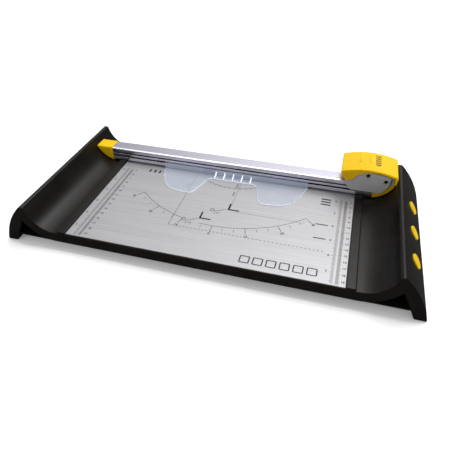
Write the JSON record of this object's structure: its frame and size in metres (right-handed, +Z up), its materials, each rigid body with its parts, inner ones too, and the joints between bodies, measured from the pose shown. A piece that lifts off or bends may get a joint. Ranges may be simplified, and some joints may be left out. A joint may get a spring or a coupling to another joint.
{
  "type": "rotary paper trimmer",
  "caption": "Rotary paper trimmer: a carriage with a press-down cover runs a round blade along a rail over a ruled bed between curved wings, with a clear paper guard.",
  "frame": {"origin": "middle of the footprint, on the desk", "axes": "+X to the right along the rail, +Y away from the user towards the rail, +Z up"},
  "size_m": [0.4844, 0.212, 0.0683],
  "materials": {
    "black_plastic": "satin, fine moulded grain",
    "yellow_plastic": "smooth satin gloss",
    "grey_plastic": "satin",
    "pale_plastic": "satin",
    "white_nylon": "dull, natural",
    "rubber": "matt",
    "mat_black": "matt, finely scored along the cut line",
    "bed_steel": "brushed across the width, printed rulers",
    "aluminium": "fine drawn lines, anodised",
    "steel": "plated",
    "blade_steel": "ground and polished",
    "clear_guard": "clear, slightly blue"
  },
  "bodies": {
    "base": {"top_shell": "black_plastic", "bottom_cover": "black_plastic", "bed_plate": "bed_steel", "cutting_mat": "mat_black", "rail": "aluminium", "left_wing_liner": "black_plastic", "right_wing_liner": "black_plastic", "left_rail_cap": "yellow_plastic", "right_rail_cap": "yellow_plastic", "left_cap_screw": "steel", "right_cap_screw": "steel", "left_front_foot": "rubber", "left_rear_foot": "rubber", "right_front_foot": "rubber", "right_rear_foot": "rubber", "cover_screw_1": "steel", "cover_screw_2": "steel", "cover_screw_3": "steel", "cover_screw_4": "steel", "cover_screw_5": "steel", "cover_screw_6": "steel"},
    "guard": {"paper_guard": "clear_guard"},
    "carriage": {"carriage_body": "pale_plastic", "front_cheek": "grey_plastic", "front_glide": "white_nylon", "rear_glide": "white_nylon", "cheek_screw_1": "steel", "cheek_screw_2": "steel", "guide_post_1": "steel", "guide_post_2": "steel"},
    "press_head": {"press_cover": "yellow_plastic", "blade_holder": "pale_plastic", "inner_cartridge": "grey_plastic", "outer_cartridge": "grey_plastic", "blade_axle": "steel", "return_spring_1": "steel", "return_spring_2": "steel"},
    "blade": {"cutting_wheel": "blade_steel"},
    "spare_1": {"spare_cartridge_1": "yellow_plastic", "spare_wheel_1": "blade_steel"},
    "spare_2": {"spare_cartridge_2": "yellow_plastic", "spare_wheel_2": "blade_steel"},
    "spare_3": {"spare_cartridge_3": "yellow_plastic", "spare_wheel_3": "blade_steel"}
  },
  "joints": [
    {"name": "guard_lift", "type": "hinge", "parent": "base", "child": "guard", "pos_m": [0, 0.0617, 0.0332], "axis": [-1, 0, 0], "range_deg": [0, 12]},
    {"name": "carriage_slide", "type": "slide", "parent": "base", "child": "carriage", "axis": [1, 0, 0], "range_m": [-0.3406, 0]},
    {"name": "press", "type": "slide", "parent": "carriage", "child": "press_head", "axis": [0, 0, -1], "range_m": [0, 0.0035], "deforming": ["return_spring_1", "return_spring_2"]},
    {"name": "blade_spin", "type": "hinge", "parent": "press_head", "child": "blade", "pos_m": [0.17, 0.092, 0.043], "axis": [0, 1, 0], "continuous": true},
    {"name": "spare_press_1", "type": "slide", "parent": "base", "child": "spare_1", "axis": [-0.8141, 0, -0.5807], "range_m": [0, 0.0015]},
    {"name": "spare_press_2", "type": "slide", "parent": "base", "child": "spare_2", "axis": [-0.8141, 0, -0.5807], "range_m": [0, 0.0015]},
    {"name": "spare_press_3", "type": "slide", "parent": "base", "child": "spare_3", "axis": [-0.8141, 0, -0.5807], "range_m": [0, 0.0015]}
  ]
}
